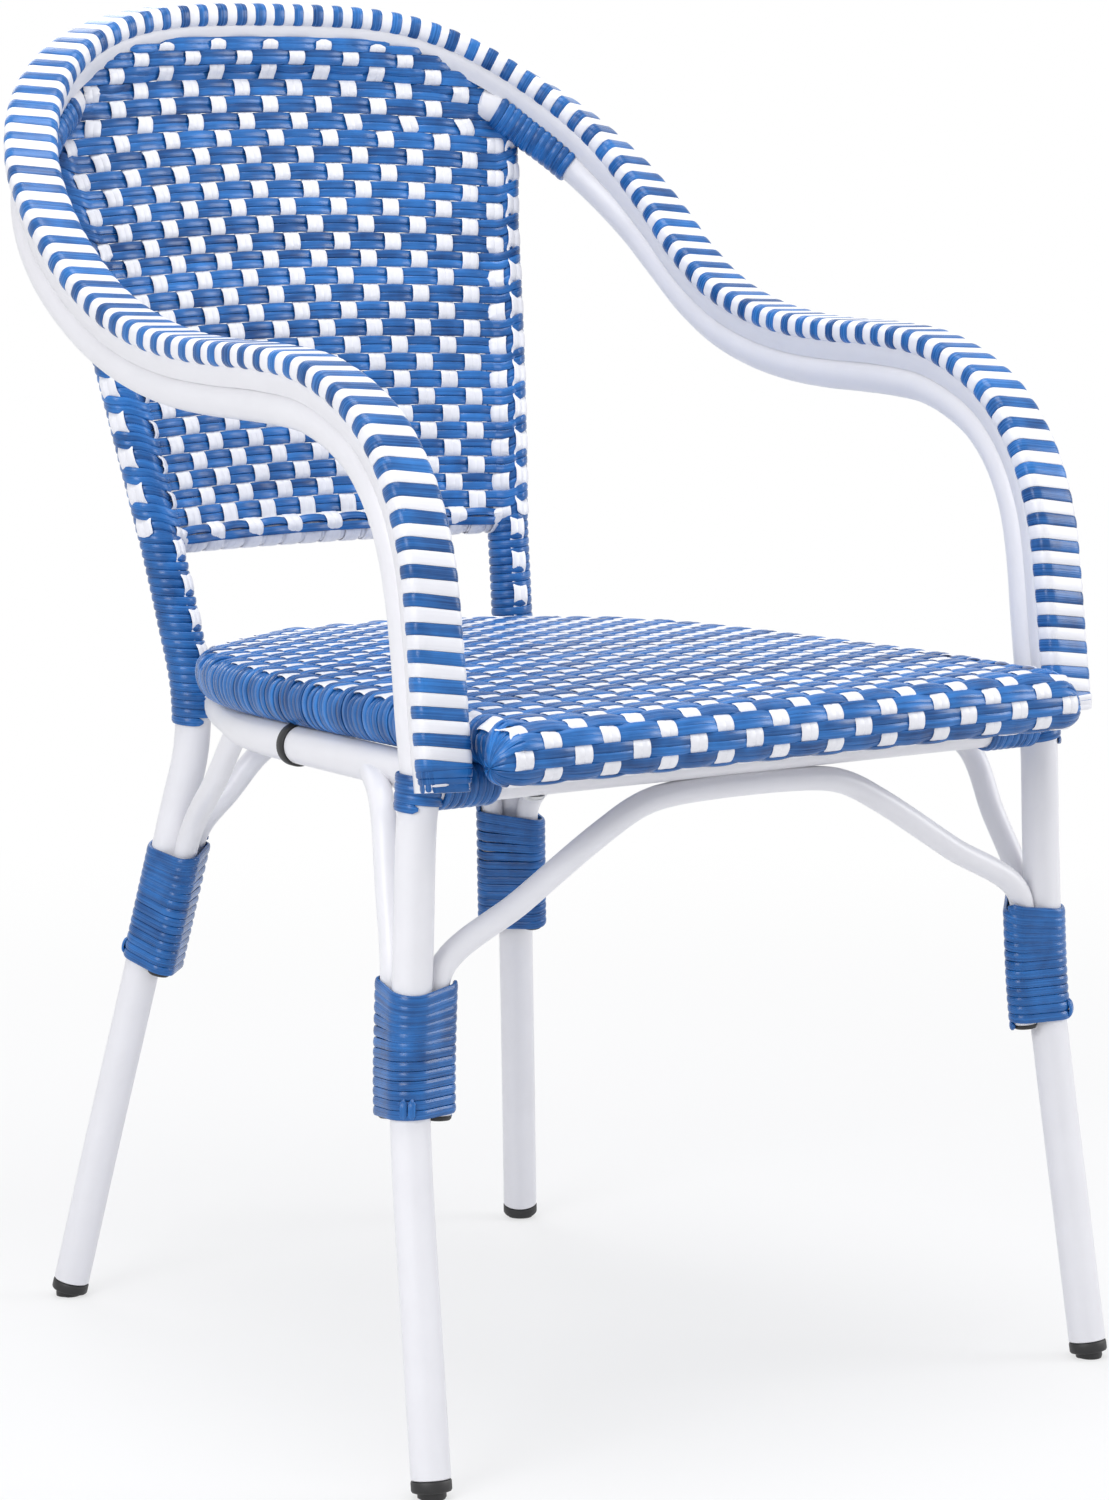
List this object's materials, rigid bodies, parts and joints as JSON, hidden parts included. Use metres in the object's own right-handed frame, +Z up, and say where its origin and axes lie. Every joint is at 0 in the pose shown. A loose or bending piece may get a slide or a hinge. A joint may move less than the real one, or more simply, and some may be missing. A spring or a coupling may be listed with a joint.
{
  "type": "rattan bistro armchair",
  "caption": "Stacking cafe armchair with a bent tube frame, a striped wound hand rail over the arms and back, and a woven seat and back.",
  "frame": {"origin": "on the floor, under the middle of the chair's own box", "axes": "+Z up, the chair faces -Y, +X on the right of someone who looks at it from the front"},
  "size_m": [0.5682, 0.6414, 0.914],
  "materials": {
    "white_frame": "satin white powder coat",
    "blue_strand": "extruded strand, semi-gloss",
    "white_strand": "extruded strand, semi-gloss",
    "black_plastic": "moulded, matte",
    "bright_steel": "zinc plated"
  },
  "bodies": {
    "root": {"back_hoop": "white_frame", "arm_tube_right": "white_frame", "arm_tube_left": "white_frame", "foot_cap_front_right": "black_plastic", "foot_cap_front_left": "black_plastic", "foot_cap_rear_right": "black_plastic", "foot_cap_rear_left": "black_plastic", "rail_core": "white_frame", "rail_strip_cover": "blue_strand", "rail_end_tuck_right": "blue_strand", "rail_end_tuck_left": "blue_strand", "front_seat_rail": "white_frame", "seat_rail": "white_frame", "stacking_ring_right": "black_plastic", "stacking_ring_left": "black_plastic", "front_arch": "white_frame", "front_arch_plug_right": "black_plastic", "front_arch_plug_left": "black_plastic", "rear_arch": "white_frame", "rear_arch_plug_right": "black_plastic", "rear_arch_plug_left": "black_plastic", "side_brace_front_right": "white_frame", "side_brace_front_left": "white_frame", "side_brace_front_plug_right": "black_plastic", "side_brace_front_plug_left": "black_plastic", "side_brace_rear_right": "white_frame", "side_brace_rear_left": "white_frame", "side_brace_rear_plug_right": "black_plastic", "side_brace_rear_plug_left": "black_plastic", "leg_binding_front_right": "blue_strand", "leg_binding_front_left": "blue_strand", "leg_binding_rear_right": "blue_strand", "leg_binding_rear_left": "blue_strand", "corner_wrap_right": "blue_strand", "corner_wrap_left": "blue_strand", "seat_front_bar": "white_frame", "seat_frame": "white_frame", "woven_seat": "blue_strand", "seat_tab": "white_frame", "seat_bolt": "bright_steel", "back_crossbar": "white_frame", "crossbar_wrap": "white_strand", "woven_back": "blue_strand", "post_wrap_right": "blue_strand", "post_wrap_left": "blue_strand", "arm_end_wrap_right": "blue_strand", "arm_end_wrap_left": "blue_strand"}
  },
  "joints": []
}
